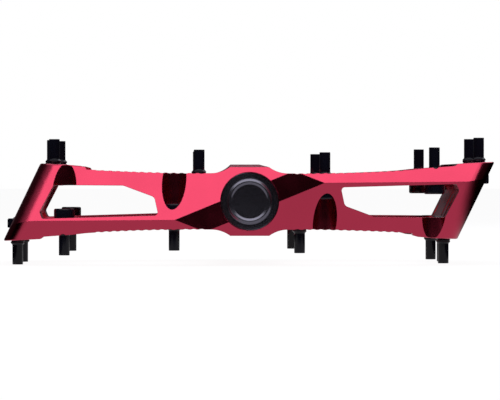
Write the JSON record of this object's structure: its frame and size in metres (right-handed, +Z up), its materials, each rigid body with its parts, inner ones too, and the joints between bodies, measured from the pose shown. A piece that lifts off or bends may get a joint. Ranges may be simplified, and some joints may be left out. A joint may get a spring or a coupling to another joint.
{
  "type": "flat pedal",
  "caption": "Flat bicycle pedal: open machined platform with swept ends, traction pins on both sides and a steel spindle with a crank thread.",
  "frame": {"origin": "on the spindle axis, at the face of the spindle collar that seats on the crank arm", "axes": "+Y out along the crank thread, +X to the front of the pedal, +Z up"},
  "size_m": [0.1104, 0.1225, 0.0286],
  "materials": {
    "platform_red": "red anodised, satin",
    "spindle_steel": "machined and ground",
    "bearing_steel": "ground",
    "pin_black": "black oxide steel",
    "rubber_black": "moulded",
    "bushing_polymer": "bearing polymer",
    "cap_black": "black anodised, gloss",
    "cage_brass": "pressed"
  },
  "bodies": {
    "spindle": {"spindle": "spindle_steel", "bearing_1_inner_race": "bearing_steel", "bearing_2_inner_race": "bearing_steel", "inner_spacer": "bearing_steel", "nut_washer": "bearing_steel", "lock_nut": "bearing_steel"},
    "platform": {"bearing_1_inboard_shield": "bearing_steel", "bearing_1_outboard_shield": "bearing_steel", "bearing_1_outer_race": "bearing_steel", "bearing_2_inboard_shield": "bearing_steel", "bearing_2_outboard_shield": "bearing_steel", "bearing_2_outer_race": "bearing_steel", "bushing_inboard": "bushing_polymer", "cap_o_ring": "rubber_black", "end_cap": "cap_black", "lip_seal": "rubber_black", "outer_spacer": "bearing_steel", "pin_top_corner_inboard": "pin_black", "pin_top_corner_outboard": "pin_black", "pin_top_end_mid": "pin_black", "pin_top_end_pair_inboard": "pin_black", "pin_top_end_pair_outboard": "pin_black", "pin_top_hub_inner_inboard": "pin_black", "pin_top_hub_inner_outboard": "pin_black", "pin_top_hub_outer_inboard": "pin_black", "pin_top_hub_outer_outboard": "pin_black", "pin_top_rail_inboard": "pin_black", "pin_top_rail_outboard": "pin_black", "pin_under_corner_inboard": "pin_black", "pin_under_corner_outboard": "pin_black", "pin_under_end_mid": "pin_black", "pin_under_end_pair_inboard": "pin_black", "pin_under_end_pair_outboard": "pin_black", "pin_under_hub_inner_inboard": "pin_black", "pin_under_hub_inner_outboard": "pin_black", "pin_under_hub_outer_inboard": "pin_black", "pin_under_hub_outer_outboard": "pin_black", "pin_under_rail_inboard": "pin_black", "pin_under_rail_outboard": "pin_black", "platform_body": "platform_red"},
    "cage_1": {"bearing_1_cage": "cage_brass", "bearing_1_ball_set": "bearing_steel"},
    "cage_2": {"bearing_2_cage": "cage_brass", "bearing_2_ball_set": "bearing_steel"}
  },
  "joints": [
    {"name": "platform_spin", "type": "hinge", "parent": "spindle", "child": "platform", "pos_m": [0, -0.058, 0], "axis": [0, 1, 0], "continuous": true},
    {"name": "cage_1_spin", "type": "hinge", "parent": "spindle", "child": "cage_1", "pos_m": [0, -0.0865, 0], "axis": [0, 1, 0], "continuous": true},
    {"name": "cage_2_spin", "type": "hinge", "parent": "spindle", "child": "cage_2", "pos_m": [0, -0.096, 0], "axis": [0, 1, 0], "continuous": true}
  ],
  "couplings": [
    {"joint": "cage_1_spin", "follows": "platform_spin", "ratio": 0.6044},
    {"joint": "cage_2_spin", "follows": "platform_spin", "ratio": 0.6044}
  ]
}
